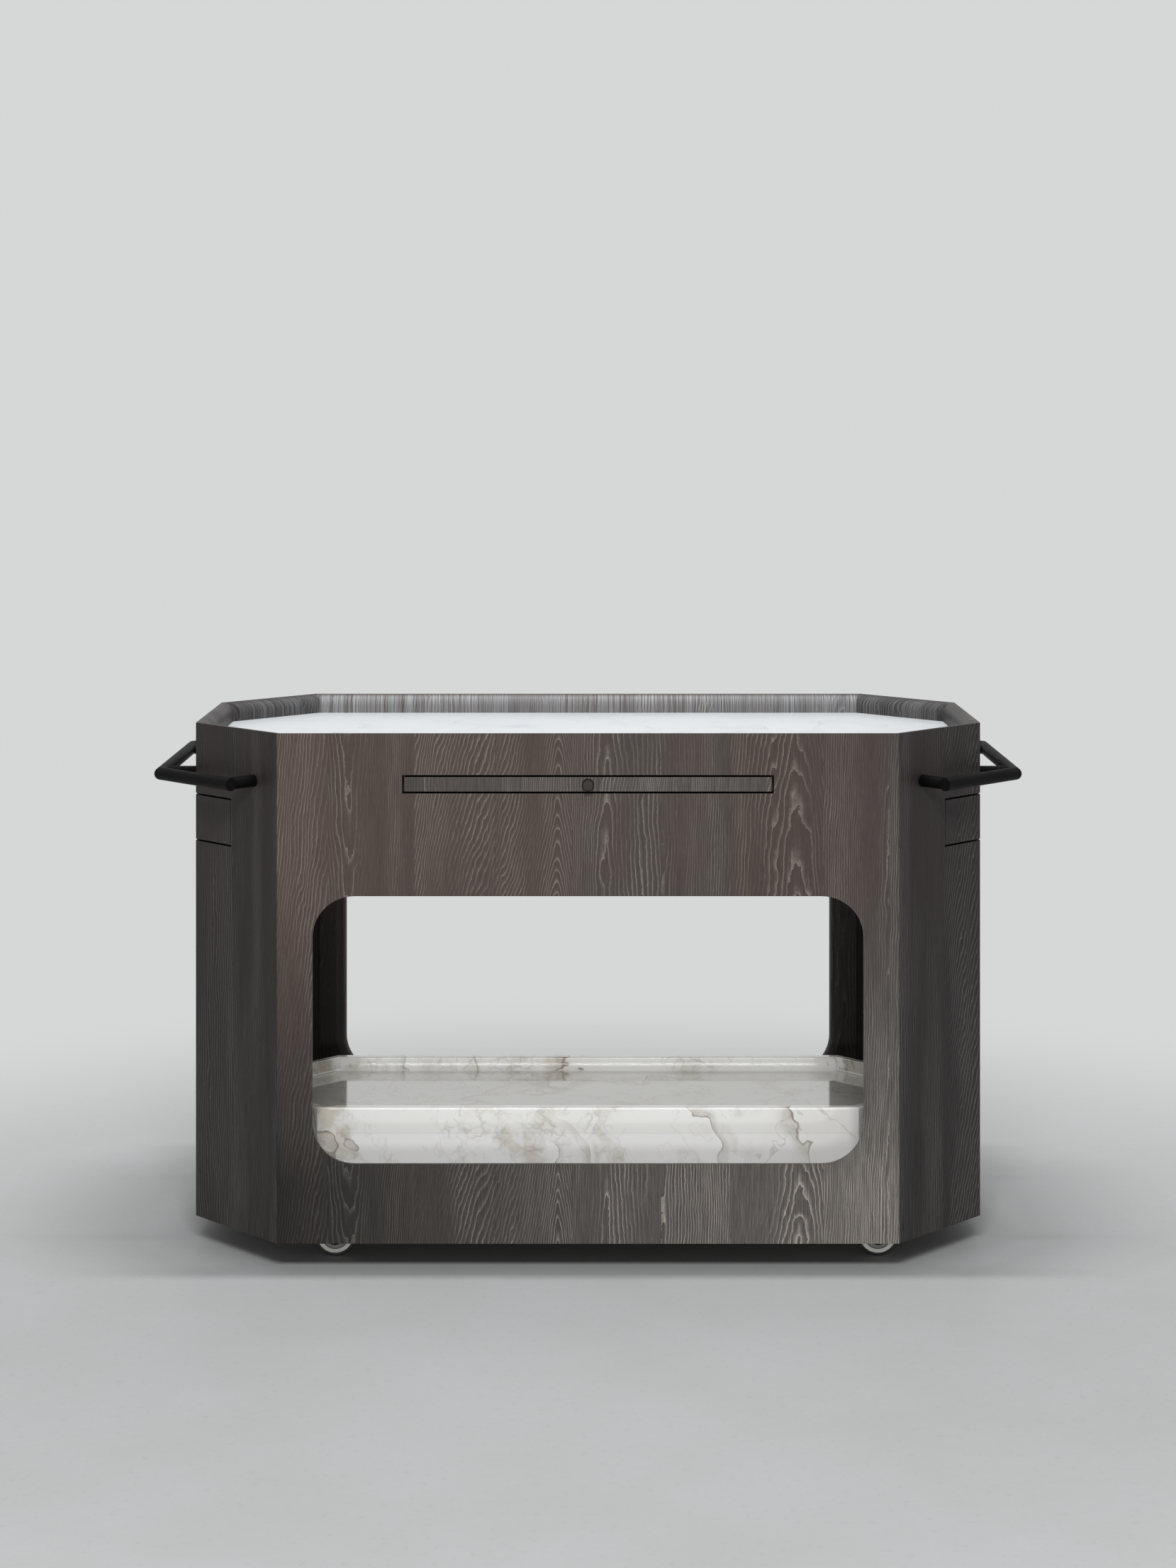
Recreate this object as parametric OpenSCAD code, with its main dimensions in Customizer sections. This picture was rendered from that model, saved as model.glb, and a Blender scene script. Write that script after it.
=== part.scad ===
// Bar cart: an octagonal veneered shell on four swivel casters, with a stone top sunk inside a
// raised rim, a pull-out board in the front, a drawer at each end that wraps round the corners,
// a rail handle round each end and a stone tray on the lower deck.
// Millimetres, +Z up, front towards -Y, origin on the floor under the middle of the shell.

/* [Shell] */
// Width of the shell across its two end faces
body_w = 1200; // [1150:10:1400]
// Depth of the shell between its front and rear faces
body_d = 565; // [550:5:620]
// How far each 45 degree corner cuts back the front and the end
chamfer = 140; // [134:1:142]
// Thickness of the shell's panels
wall = 20; // [18:0.5:22]
// Radius on the inner edge of the rim and of the openings
edge_round = 16; // [4:1:17]

/* [Openings] */
// Width of the leg on each side of the opening in the front and in the rear
leg_w = 52.5; // [45:0.5:110]
// Height of that opening
opening_h = 396; // [330:1:400]
// Corner radius of that opening
opening_r = 62; // [30:1:90]
// Height of the rail below the opening
bottom_rail_h = 117.5; // [105:0.5:120]
// Height of the panel above the opening, up to the rim
top_rail_h = 240.5; // [232:0.5:280]

/* [Top] */
// Height of the rim above the stone top
rim_h = 30; // [20:1:33]
// Thickness of the stone top
top_stone_t = 15; // [12:0.5:17]
// Thickness of the board under the stone top
sub_top_t = 15; // [12:0.5:17]

/* [Pull-out board] */
// Width of the slot in the front panel
slot_w = 549; // [400:1:600]
// Height of the slot
slot_h = 26.5; // [24:0.5:29]
// Distance from the rim down to the slot
slot_drop = 61.8; // [61:0.1:63.5]
// Gap beside the pull-out front
slot_side_gap = 3.2; // [1:0.1:4]
// Gap above and below the pull-out front
slot_edge_gap = 2.25; // [1:0.05:2.5]
// Thickness of the board
board_t = 16; // [14:0.5:17]
// Distance from the board's guides back to the rear partition
guide_end_gap = 10.2; // [5:0.1:60]
// Length of board that stays behind each stop peg
peg_inset = 12; // [8:1:30]
// Diameter of the stop pegs
peg_d = 8; // [6:0.5:10]
// Distance between the two stop pegs
peg_spacing = 380; // [200:10:380]

/* [Knob] */
// Diameter of the knob's head
knob_d = 17.5; // [14:0.5:20]
// Distance that the knob stands out
knob_reach = 14; // [12:0.5:15]
// Diameter of the knob's neck
knob_neck_d = 10; // [8:0.5:12]
// Length of the knob's neck
knob_neck_len = 5; // [3:0.5:6]
// Radius on the knob's front edge
knob_round = 2; // [1:0.5:3]
// Diameter of the stud that holds the knob
knob_stud_d = 4; // [3:0.5:5]

/* [End drawers] */
// Distance from the rim down to the drawer's cut-out
drawer_drop = 107.5; // [105:0.5:112]
// Height of that cut-out
drawer_cut_h = 72.5; // [70:0.5:76]
// Length of the drawer front on each corner panel
drawer_wrap = 87; // [70:1:95]
// Gap above and below the drawer front
drawer_gap = 2.5; // [1.5:0.1:3.5]
// Gap at the upright seam in the corner panel
seam_gap = 1; // [0.5:0.1:2]
// Distance from the end's corner in to the side of the drawer box
drawer_box_gap = 12.5; // [11:0.5:30]
// Length of the drawer box
drawer_box_len = 500; // [420:5:540]
// Height of the drawer box
drawer_box_h = 56; // [50:1:58]
// Thickness of the box's sides and ends
drawer_board_t = 12; // [9:0.5:15]
// Thickness of the box's bottom
drawer_bottom_t = 6; // [4:0.5:8]

/* [Drawer slides] */
// Space for a slide between the box and the partition
slide_space = 13; // [12.5:0.1:14]
// Height of the fixed half of a slide
slide_h = 35; // [30:1:38]
// Length of each half of a slide
slide_len = 470; // [380:5:475]
// Thickness of the slide's steel
slide_t = 1.5; // [1.2:0.1:2]

/* [Bay] */
// Thickness of the bay's floor
bay_floor_t = 15; // [12:0.5:16]
// Thickness of the partitions and of the divider
partition_t = 15; // [12:0.5:18]
// Width and height of the cleats
cleat = 18; // [14:1:20]

/* [Handles] */
// Diameter of the handle's bar
handle_d = 19.5; // [14:0.5:22]
// Distance from the shell to the middle of the bar
handle_reach = 50; // [42:1:60]
// Distance from the rim down to the middle of the bar
handle_drop = 75; // [72:0.5:78]
// Distance along the corner panel from the front edge to the stub
handle_stub = 55; // [40:1:70]
// Diameter of the stubs that carry the bar at the corner panels
stub_d = 18; // [12:0.5:20]
// Length of bar that shows past each stub
bar_past = 1.5; // [1:0.5:6]
// Distance along the end from the corner to each post
handle_post = 14.5; // [12:0.5:16]
// Diameter of the posts
post_d = 14; // [12:0.5:15]
// Diameter of the handle's bolts
bolt_d = 6; // [5:0.5:8]
// Length of bolt inside the handle
bolt_grip = 18; // [12:1:24]

/* [Lower tray] */
// Thickness of the base deck
base_t = 18; // [15:0.5:20]
// Distance from the shell's face in to the tray's face
tray_inset = 116; // [90:1:130]
// Height of the tray's rim above the opening's lower edge
tray_rise = 54; // [45:1:58]
// Thickness of the tray's slab
tray_t = 40; // [34:1:50]
// Width of the tray's rim
tray_rim_w = 15; // [12:0.5:25]
// Depth of the tray's recess
tray_recess = 20; // [15:0.5:24]
// Radius of the cove round the tray's floor
tray_cove = 10; // [4:0.5:14]
// Radius on the edges of the tray's rim
tray_rim_round = 3; // [1:0.5:4]
// Thickness of the apron slabs under the tray
apron_t = 15; // [12:0.5:20]
// Thickness of the boards of the core under the tray
core_t = 18; // [12:1:24]

/* [Casters] */
// Depth of the shell's skirt below the base deck
skirt_h = 37; // [30:1:40]
// Distance of each swivel axis from the end face
caster_inset_x = 190; // [160:5:220]
// Distance of each swivel axis from the front or rear face
caster_inset_y = 98; // [86:1:110]
// Distance from the swivel axis back to the axle
caster_trail = 28; // [22:1:32]
// Diameter of the wheels
wheel_d = 64; // [60:1:68]
// Width of the tyres
wheel_w = 20; // [16:1:24]
// Thickness of the tyres
tyre_t = 4.5; // [3:0.5:6]
// Width of the raised ring on the wheel's face
wheel_ring_w = 6; // [4:0.5:7]
// Depth of the wheel's web below its ring
wheel_web_drop = 3; // [2:0.5:4]
// Diameter of the axles
axle_d = 8; // [6:0.5:10]
// Radius of the fork's ends round the axle
fork_end_r = 14; // [11:0.5:14.5]
// Thickness of the fork's steel
fork_t = 2.5; // [2:0.5:3]
// Radius of the fork's crown
crown_r = 22; // [20:0.5:24]
// Height of the swivel's bearing
race_h = 6; // [5:0.5:8]
// Diameter of the kingpin
kingpin_d = 10; // [8:0.5:12]
// Side of the square mounting plate
plate_side = 60; // [54:1:66]
// Thickness of the mounting plate
plate_t = 4; // [3:0.5:5]
// Diameter of the plate's screws
screw_d = 4; // [3:0.5:5]
// Length of screw inside the base deck
screw_grip = 12; // [8:0.5:14]

/* [Hidden] */

$fn = 64;

// How far cutters run past a face
over = 1;
// Radial clearance of a pin or bolt in its hole
pin_fit = 0.05;
// Gap between a tyre and the wheel inside it
tyre_fit = 0.3;
// Seam between two mitred lengths of the handle, and the share of the bar that joins them
mitre_seam = 0.06;
mitre_core = 0.7;
// Gap round a board or stone that is let in between the panels
panel_fit = 0.2;
// Gap between two pieces that slide or turn on flat faces
run_gap = 0.3;
// Clearance of the pull-out board in its grooves
groove_fit = 0.4;

// Shape of the octagon: every corner between two faces turns by 45 degrees
mitre = tan(22.5);
half_w = body_w / 2;
half_d = body_d / 2;
front_len = body_w - 2 * chamfer;
end_len = body_d - 2 * chamfer;
corner_len = chamfer * sqrt(2);
// Distance of a corner panel's face from the middle of the cart
corner_dist = (half_w + half_d - chamfer) / sqrt(2);

opening_w = front_len - 2 * leg_w;
body_h = bottom_rail_h + opening_h + top_rail_h;

// Heights, from the floor up
wheel_top_gap = 6;
caster_h = wheel_d + wheel_top_gap + fork_t + race_h + run_gap + plate_t;
base_z0 = caster_h;
base_z1 = base_z0 + base_t;
body_z0 = base_z0 - skirt_h;
body_z1 = body_z0 + body_h;
opening_z0 = body_z0 + bottom_rail_h;
opening_z1 = opening_z0 + opening_h;
tray_z1 = opening_z0 + tray_rise;
tray_z0 = tray_z1 - tray_t;
tray_floor_z = tray_z1 - tray_recess;
bay_lift = 2.5;
bay_z0 = opening_z1 + edge_round + bay_lift;
bay_z1 = bay_z0 + bay_floor_t;
stone_z1 = body_z1 - rim_h;
stone_z0 = stone_z1 - top_stone_t;
sub_top_z0 = stone_z0 - sub_top_t;
handle_z = body_z1 - handle_drop;

// Pull-out board
slot_z1 = body_z1 - slot_drop;
slot_z0 = slot_z1 - slot_h;
slot_mid_z = (slot_z0 + slot_z1) / 2;
board_margin = 9.5;
board_half = slot_w / 2 - board_margin;
board_z0 = slot_mid_z - board_t / 2;
board_z1 = board_z0 + board_t;
groove_depth = 7.5;
guide_web = 12;
guide_lip = 7;
guide_in = board_half + groove_fit - groove_depth;
guide_out = board_half + groove_fit + guide_web;
guide_z0 = board_z0 - groove_fit - guide_lip;
guide_stop_w = 15;
drawer_box_w = end_len - 2 * drawer_box_gap;
box_half = drawer_box_w / 2;
partition_in = box_half + slide_space;
partition_out = partition_in + partition_t;
board_y0 = -half_d + wall;
board_y1 = partition_in - guide_end_gap - guide_stop_w - run_gap;
board_depth = board_y1 - board_y0;
stud_grip = 20;
stud_in_knob = 9;
peg_drop = 16;
peg_y = board_y1 - peg_inset;

// Drawers
cut_z1 = body_z1 - drawer_drop;
cut_z0 = cut_z1 - drawer_cut_h;
box_lift = 5.5;
box_z0 = cut_z0 + drawer_gap + box_lift;
box_x1 = half_w - wall;
box_x0 = box_x1 - drawer_box_len;
bottom_lift = 4;
slide_z = box_z0 + drawer_box_h / 2;
slide_depth = slide_space - 3;
partition_end_gap = 3;
// Where the corner panel's inner face crosses the outer side of a partition
end_inner_half = end_len / 2 - wall * mitre;
partition_half = box_x1 - (partition_out - end_inner_half) - partition_end_gap;
slide_x1 = partition_half - 2;
slide_x0 = slide_x1 - slide_len;
slide_lead = 20;

// Cleats
cleat_end_gap = 10;
front_cleat_half = front_len / 2 - wall * mitre - cleat_end_gap;
end_cleat_half = end_len / 2 - handle_post - cleat - cleat_end_gap;
slot_cleat_gap = 4;

// Casters
caster_x = half_w - caster_inset_x;
caster_y = half_d - caster_inset_y;
wheel_r = wheel_d / 2;
core_r = wheel_r - tyre_t;
ring_r = core_r - wheel_ring_w;
fork_gap = 2.5;
fork_in = wheel_w / 2 + fork_gap;
fork_out = fork_in + fork_t;
crown_z0 = wheel_d + wheel_top_gap;
crown_z1 = crown_z0 + fork_t;
plate_z0 = base_z0 - plate_t;
race_r = crown_r - 4;
kingpin_head_r = kingpin_d / 2 + 3;
kingpin_head_t = 3;
axle_head_r = axle_d / 2 + 2;
axle_head_t = 2;
screw_head_r = screw_d;
screw_head_t = 2;
screw_inset = 8;

veneer = [0.33, 0.30, 0.285];
veneer_dark = [0.24, 0.22, 0.21];
stone_white = [0.93, 0.93, 0.94];
stone_warm = [0.89, 0.88, 0.85];
plywood = [0.62, 0.52, 0.40];
black_steel = [0.10, 0.10, 0.10];
zinc = [0.68, 0.70, 0.72];
wheel_white = [0.85, 0.84, 0.82];
rubber = [0.16, 0.16, 0.16];

// Octagon at a distance inside the shell's faces
function oct(inset) =
  let (w = half_w - inset, d = half_d - inset, c = chamfer - inset * (2 - sqrt(2)))
  [[w, c - d], [w, d - c], [w - c, d], [c - w, d], [-w, d - c], [-w, c - d], [c - w, -d], [w - c, -d]];

// Length of an octagon's side at a distance inside the shell's faces
function inner_len(len, inset) = len - 2 * inset * mitre;

module flip_x(on) {
  if (on) mirror([1, 0, 0]) children();
  else children();
}

module flip_y(on) {
  if (on) mirror([0, 1, 0]) children();
  else children();
}

module flip_z(on) {
  if (on) mirror([0, 0, 1]) children();
  else children();
}

// Places where x runs along a face, y goes inwards and y = 0 is that distance inside the face
module at_front(inset = 0) {
  translate([0, inset - half_d, 0]) children();
}

module at_rear(inset = 0) {
  rotate([0, 0, 180]) at_front(inset) children();
}

module at_end(left, inset = 0) {
  flip_x(left) translate([half_w - inset, 0, 0]) rotate([0, 0, 90]) children();
}

// Here x runs from the front or rear edge of the corner to the end's edge
module at_corner(left, rear, inset = 0) {
  flip_x(left) flip_y(rear)
    translate([half_w - chamfer / 2, chamfer / 2 - half_d, 0])
      rotate([0, 0, 45]) translate([0, inset, 0]) children();
}

module oct_board(inset, z0, z1) {
  translate([0, 0, z0]) linear_extrude(z1 - z0) polygon(oct(inset));
}

module mitred_board(len, z0, z1, t) {
  translate([0, 0, z0]) linear_extrude(z1 - z0)
    polygon([[-len / 2, 0], [len / 2, 0], [len / 2 - t * mitre, t], [t * mitre - len / 2, t]]);
}

// Cutter that rounds the inner edge of the rim
module rim_round(len) {
  translate([-len / 2 - over, wall - edge_round, body_z1 - edge_round])
    difference() {
      cube([len + 2 * over, edge_round + over, edge_round + over]);
      translate([-over, 0, 0]) rotate([0, 90, 0]) cylinder(r = edge_round, h = len + 4 * over);
    }
}

module shell_panel(len, z0, z1, rim) {
  difference() {
    mitred_board(len, z0, z1, wall);
    if (rim) rim_round(len);
  }
}

// Section of the rounding on an opening's inner edge: x away from the opening, y inwards
module flare_section() {
  difference() {
    translate([-over, wall - edge_round]) square([edge_round + over, edge_round + over]);
    translate([edge_round, wall - edge_round]) circle(r = edge_round);
  }
}

module opening_cut() {
  flat_w = opening_w - 2 * opening_r;
  flat_h = opening_h - 2 * opening_r;
  translate([0, 0, opening_z0 + opening_h / 2]) {
    translate([-flat_w / 2, -over, -opening_h / 2]) cube([flat_w, wall + 2 * over, opening_h]);
    translate([-opening_w / 2, -over, -flat_h / 2]) cube([opening_w, wall + 2 * over, flat_h]);
    for (sx = [0, 1]) {
      flip_x(sx == 1) translate([opening_w / 2, 0, 0])
        linear_extrude(flat_h, center = true) flare_section();
      flip_z(sx == 1) translate([0, 0, opening_h / 2])
        rotate([0, -90, 0]) linear_extrude(flat_w, center = true) flare_section();
      for (sz = [0, 1])
        flip_x(sx == 1) flip_z(sz == 1) translate([flat_w / 2, 0, -flat_h / 2]) {
          translate([0, -over, 0]) rotate([-90, 0, 0]) cylinder(r = opening_r, h = wall + 2 * over);
          rotate([-90, 0, 0]) rotate_extrude(angle = 90)
            translate([opening_r, 0]) flare_section();
        }
    }
  }
}

module front_panel() {
  color(veneer) at_front() difference() {
    shell_panel(front_len, body_z0, body_z1, true);
    opening_cut();
    translate([-slot_w / 2, -over, slot_z0]) cube([slot_w, wall + 2 * over, slot_h]);
  }
}

module rear_panel() {
  color(veneer) at_rear() difference() {
    shell_panel(front_len, body_z0, body_z1, true);
    opening_cut();
  }
}

module corner_panel(left, rear) {
  color(veneer_dark) at_corner(left, rear) difference() {
    shell_panel(corner_len, body_z0, body_z1, true);
    translate([corner_len / 2 - drawer_wrap, -over, cut_z0])
      cube([drawer_wrap + over, wall + 2 * over, drawer_cut_h]);
    translate([handle_stub - corner_len / 2, 0, handle_z]) bolt_hole(wall);
  }
}

module corner_panel_front_left() {
  corner_panel(true, false);
}

module corner_panel_front_right() {
  corner_panel(false, false);
}

module corner_panel_rear_left() {
  corner_panel(true, true);
}

module corner_panel_rear_right() {
  corner_panel(false, true);
}

module end_panel_upper(left) {
  color(veneer_dark) at_end(left) difference() {
    shell_panel(end_len, cut_z1, body_z1, true);
    at_posts() bolt_hole(wall);
  }
}

module end_panel_upper_left() {
  end_panel_upper(true);
}

module end_panel_upper_right() {
  end_panel_upper(false);
}

module end_panel_lower(left) {
  color(veneer_dark) at_end(left) shell_panel(end_len, body_z0, cut_z0, false);
}

module end_panel_lower_left() {
  end_panel_lower(true);
}

module end_panel_lower_right() {
  end_panel_lower(false);
}

module stone_top() {
  color(stone_white) oct_board(wall + panel_fit, stone_z0, stone_z1);
}

module sub_top() {
  color(plywood) oct_board(wall + panel_fit, sub_top_z0, stone_z0);
}

// Cleats on the inner faces of the front, the rear and both ends, with their lower side at z
module cleat_ring(z) {
  at_front(wall) translate([-front_cleat_half, 0, z]) cube([2 * front_cleat_half, cleat, cleat]);
  at_rear(wall) translate([-front_cleat_half, 0, z]) cube([2 * front_cleat_half, cleat, cleat]);
  for (left = [true, false])
    at_end(left, wall) translate([-end_cleat_half, 0, z]) cube([2 * end_cleat_half, cleat, cleat]);
}

module cleats() {
  color(plywood) {
    cleat_ring(base_z1);
    cleat_ring(bay_z1);
    difference() {
      cleat_ring(sub_top_z0 - cleat);
      at_front() translate([-guide_out - slot_cleat_gap, 0, guide_z0])
        cube([2 * (guide_out + slot_cleat_gap), wall + cleat + over, sub_top_z0 - guide_z0 + over]);
    }
  }
}

module bay_floor() {
  color(plywood) oct_board(wall + panel_fit, bay_z0, bay_z1);
}

module bay_partition() {
  translate([-partition_half, partition_in, bay_z1])
    cube([2 * partition_half, partition_t, sub_top_z0 - bay_z1]);
}

module bay_partition_front() {
  notch_half = guide_out + slot_cleat_gap;
  color(plywood) difference() {
    mirror([0, 1, 0]) bay_partition();
    translate([-notch_half, -partition_out - over, guide_z0 - run_gap])
      cube([2 * notch_half, partition_t + 2 * over, sub_top_z0 - guide_z0 + run_gap + over]);
  }
}

module bay_partition_rear() {
  color(plywood) bay_partition();
}

module bay_divider() {
  color(plywood) translate([-partition_t / 2, -partition_in, bay_z1])
    cube([partition_t, 2 * partition_in, guide_z0 - run_gap - bay_z1]);
}

module pullout_guides() {
  guide_y0 = board_y0 + run_gap;
  guide_len = board_y1 + run_gap + guide_stop_w - guide_y0;
  color(plywood) {
    for (left = [true, false])
      flip_x(left) difference() {
        translate([guide_in, guide_y0, guide_z0])
          cube([guide_out - guide_in, guide_len, sub_top_z0 - guide_z0]);
        translate([guide_in - over, guide_y0 - over, board_z0 - groove_fit])
          cube([groove_depth + over, guide_len + 2 * over, board_t + 2 * groove_fit]);
      }
    translate([-guide_in, board_y1 + run_gap, guide_z0])
      cube([2 * guide_in, guide_stop_w, sub_top_z0 - guide_z0]);
  }
}

// A channel of bent steel along x, open towards -y, with its back at y = 0
module channel(len, depth, height) {
  difference() {
    translate([0, -depth, -height / 2]) cube([len, depth, height]);
    translate([-over, -depth - over, slide_t - height / 2])
      cube([len + 2 * over, depth - slide_t + over, height - 2 * slide_t]);
  }
}

module slide_channels() {
  color(zinc) for (left = [true, false], rear = [true, false])
    flip_x(left) flip_y(!rear)
      translate([slide_x0, partition_in, slide_z]) channel(slide_len, slide_depth, slide_h);
}

module base_deck() {
  color(plywood) difference() {
    oct_board(wall + panel_fit, base_z0, base_z1);
    at_casters() at_plate_screws()
      translate([0, 0, base_z0 - over]) cylinder(d = screw_d + 2 * pin_fit, h = screw_grip + 2 * over);
  }
}

// The four pairs of opposite sides of the octagon: direction across the pair, half distance
pairs = [[0, half_w], [90, half_d], [45, corner_dist], [-45, corner_dist]];

// A prism along one pair of sides: the children are its section, x across the pair and y up
module along_pair(angle) {
  rotate([0, 0, angle]) rotate([90, 0, 0]) linear_extrude(2 * body_w, center = true) children();
}

// Section of the slab, with its upper edges rounded
module slab_section(half) {
  r = tray_rim_round;
  translate([-half, tray_z0]) square([2 * half, tray_t - r]);
  translate([r - half, tray_z0]) square([2 * (half - r), tray_t]);
  for (s = [-1, 1]) translate([s * (half - r), tray_z1 - r]) circle(r = r);
}

// Section of the recess, with a cove round the floor and a rounded rim
module recess_section(half) {
  r = tray_cove;
  rim_r = tray_rim_round;
  translate([-half, tray_floor_z + r]) square([2 * half, tray_recess - r + over]);
  translate([r - half, tray_floor_z]) square([2 * (half - r), tray_recess]);
  for (s = [-1, 1]) {
    translate([s * (half - r), tray_floor_z + r]) circle(r = r);
    difference() {
      translate([s * half - rim_r, tray_z1 - rim_r]) square([2 * rim_r, rim_r + over]);
      translate([s * (half + rim_r), tray_z1 - rim_r]) circle(r = rim_r);
    }
  }
}

module tray_slab() {
  color(stone_warm) difference() {
    intersection_for (p = pairs) along_pair(p[0]) slab_section(p[1] - tray_inset);
    intersection_for (p = pairs) along_pair(p[0]) recess_section(p[1] - tray_inset - tray_rim_w);
  }
}

module tray_apron() {
  color(stone_warm) difference() {
    oct_board(tray_inset, base_z1, tray_z0);
    oct_board(tray_inset + apron_t, base_z1 - over, tray_z0 + over);
  }
}

module tray_core() {
  core_inset = tray_inset + apron_t + panel_fit;
  rib_w = 2 * (half_d - core_inset) - core_t;
  color(plywood) {
    difference() {
      oct_board(core_inset, base_z1, tray_z0);
      oct_board(core_inset + core_t, base_z1 - over, tray_z0 + over);
    }
    for (x = [-half_w / 4, half_w / 4])
      translate([x - core_t / 2, -rib_w / 2, base_z1]) cube([core_t, rib_w, tray_z0 - base_z1]);
  }
}

// The two posts of a handle, in the frame of the end's face
module at_posts() {
  for (s = [-1, 1]) translate([s * (end_len / 2 - handle_post), 0, handle_z]) children();
}

// A hole from the face y = 0 inwards
module bolt_hole(depth) {
  translate([0, -over, 0]) rotate([-90, 0, 0]) cylinder(d = bolt_d + 2 * pin_fit, h = depth + 2 * over);
}

// A hole from the face y = 0 outwards, for the bolt's end
module bolt_seat() {
  translate([0, over, 0]) rotate([90, 0, 0])
    cylinder(d = bolt_d + 2 * pin_fit, h = bolt_grip + pin_fit + over);
}

// One straight length of bar along x, mitred where the path turns left before and after it
module bar_length(len, turn_in, turn_out) {
  reach = handle_d / 2 + over;
  difference() {
    translate([-handle_d * sin(turn_in), 0, 0]) rotate([0, 90, 0])
      cylinder(d = handle_d, h = len + handle_d * (sin(turn_in) + sin(turn_out)));
    if (turn_in > 0)
      rotate([0, 0, -turn_in / 2]) translate([mitre_seam / 2 - 2 * handle_d, -2 * reach, -reach])
        cube([2 * handle_d, 4 * reach, 2 * reach]);
    if (turn_out > 0)
      translate([len, 0, 0]) rotate([0, 0, turn_out / 2]) translate([-mitre_seam / 2, -2 * reach, -reach])
        cube([2 * handle_d, 4 * reach, 2 * reach]);
  }
}

// Lengths of bar end to end, each turned left from the one before and joined to it by a core
module bar_path(lens, turns, i = 0) {
  turn_in = i == 0 ? 0 : turns[i - 1];
  turn_out = i == len(turns) ? 0 : turns[i];
  core_d = handle_d * mitre_core;
  bar_length(lens[i], turn_in, turn_out);
  if (i < len(turns)) translate([lens[i], 0, 0]) {
    rotate([0, 90, turn_out / 2]) cylinder(d = core_d, h = core_d / 2, center = true);
    rotate([0, 0, turn_out]) bar_path(lens, turns, i + 1);
  }
}

module handle(left) {
  tip = stub_d / 2 + bar_past;
  side_bar = tip + corner_len - handle_stub + handle_reach * mitre;
  end_bar = inner_len(end_len, -handle_reach);
  color(black_steel) difference() {
    union() {
      at_corner(left, false) translate([handle_stub - corner_len / 2 - tip, -handle_reach, handle_z])
        bar_path([side_bar, end_bar, side_bar], [45, 45]);
      for (rear = [true, false])
        at_corner(left, rear) translate([handle_stub - corner_len / 2, 0, handle_z])
          rotate([90, 0, 0]) cylinder(d = stub_d, h = handle_reach);
      at_end(left) at_posts() rotate([90, 0, 0]) cylinder(d = post_d, h = handle_reach);
    }
    for (rear = [true, false])
      at_corner(left, rear) translate([handle_stub - corner_len / 2, 0, handle_z]) bolt_seat();
    at_end(left) at_posts() bolt_seat();
  }
}

module handle_left() {
  handle(true);
}

module handle_right() {
  handle(false);
}

module handle_bolt() {
  head_r = bolt_d;
  head_t = bolt_d - 1;
  socket_d = bolt_d - 1;
  difference() {
    union() {
      translate([0, wall, 0]) rotate([90, 0, 0]) cylinder(d = bolt_d, h = wall + bolt_grip);
      translate([0, wall, 0]) rotate([-90, 0, 0]) cylinder(r = head_r, h = head_t);
    }
    translate([0, wall + head_t / 2, 0]) rotate([-90, 0, 0]) cylinder(d = socket_d, h = head_t, $fn = 6);
  }
}

module handle_bolts() {
  color(zinc) for (left = [true, false]) {
    for (rear = [true, false])
      at_corner(left, rear) translate([handle_stub - corner_len / 2, 0, handle_z]) handle_bolt();
    at_end(left) at_posts() handle_bolt();
  }
}

module at_caster(left, rear) {
  translate([left ? -caster_x : caster_x, rear ? caster_y : -caster_y, 0]) children();
}

module at_casters() {
  for (left = [true, false], rear = [true, false]) at_caster(left, rear) children();
}

module at_plate_screws() {
  reach = plate_side / 2 - screw_inset;
  for (sx = [-1, 1], sy = [-1, 1]) translate([sx * reach, sy * reach, 0]) children();
}

module caster_plates() {
  pin_z0 = crown_z0 - run_gap - kingpin_head_t;
  color(zinc) at_casters() difference() {
    union() {
      translate([-plate_side / 2, -plate_side / 2, plate_z0]) cube([plate_side, plate_side, plate_t]);
      translate([0, 0, pin_z0]) cylinder(d = kingpin_d, h = plate_z0 + plate_t / 2 - pin_z0);
      translate([0, 0, pin_z0]) cylinder(r = kingpin_head_r, h = kingpin_head_t);
    }
    at_plate_screws()
      translate([0, 0, plate_z0 - over]) cylinder(d = screw_d + 2 * pin_fit, h = plate_t + 2 * over);
  }
}

module caster_screws() {
  color(zinc) at_casters() at_plate_screws() {
    translate([0, 0, plate_z0 - screw_head_t]) cylinder(r = screw_head_r, h = screw_head_t);
    translate([0, 0, plate_z0 - screw_head_t])
      cylinder(d = screw_d, h = screw_head_t + plate_t + screw_grip);
  }
}

// Side of a fork, x backwards from the swivel axis and y up from the floor
module fork_side() {
  lean = atan2(crown_z1 - wheel_r, -caster_trail);
  difference() {
    union() {
      translate([caster_trail, wheel_r]) circle(r = fork_end_r);
      polygon([
        [-crown_r * 0.8, crown_z1], [crown_r * 0.8, crown_z1],
        [caster_trail + fork_end_r * sin(lean), wheel_r - fork_end_r * cos(lean)],
        [caster_trail - fork_end_r * sin(lean), wheel_r + fork_end_r * cos(lean)]
      ]);
    }
    translate([caster_trail, wheel_r]) circle(d = axle_d + 2 * pin_fit);
  }
}

module caster_fork(left, rear) {
  color(black_steel) at_caster(left, rear) difference() {
    union() {
      for (y = [fork_out, -fork_in])
        translate([0, y, 0]) rotate([90, 0, 0]) linear_extrude(fork_t) fork_side();
      translate([0, 0, crown_z0]) cylinder(r = crown_r, h = fork_t);
      translate([0, 0, crown_z0]) cylinder(r = race_r, h = fork_t + race_h);
    }
    translate([0, 0, crown_z0 - over]) cylinder(d = kingpin_d + 2 * pin_fit, h = fork_t + race_h + 2 * over);
  }
}

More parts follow.
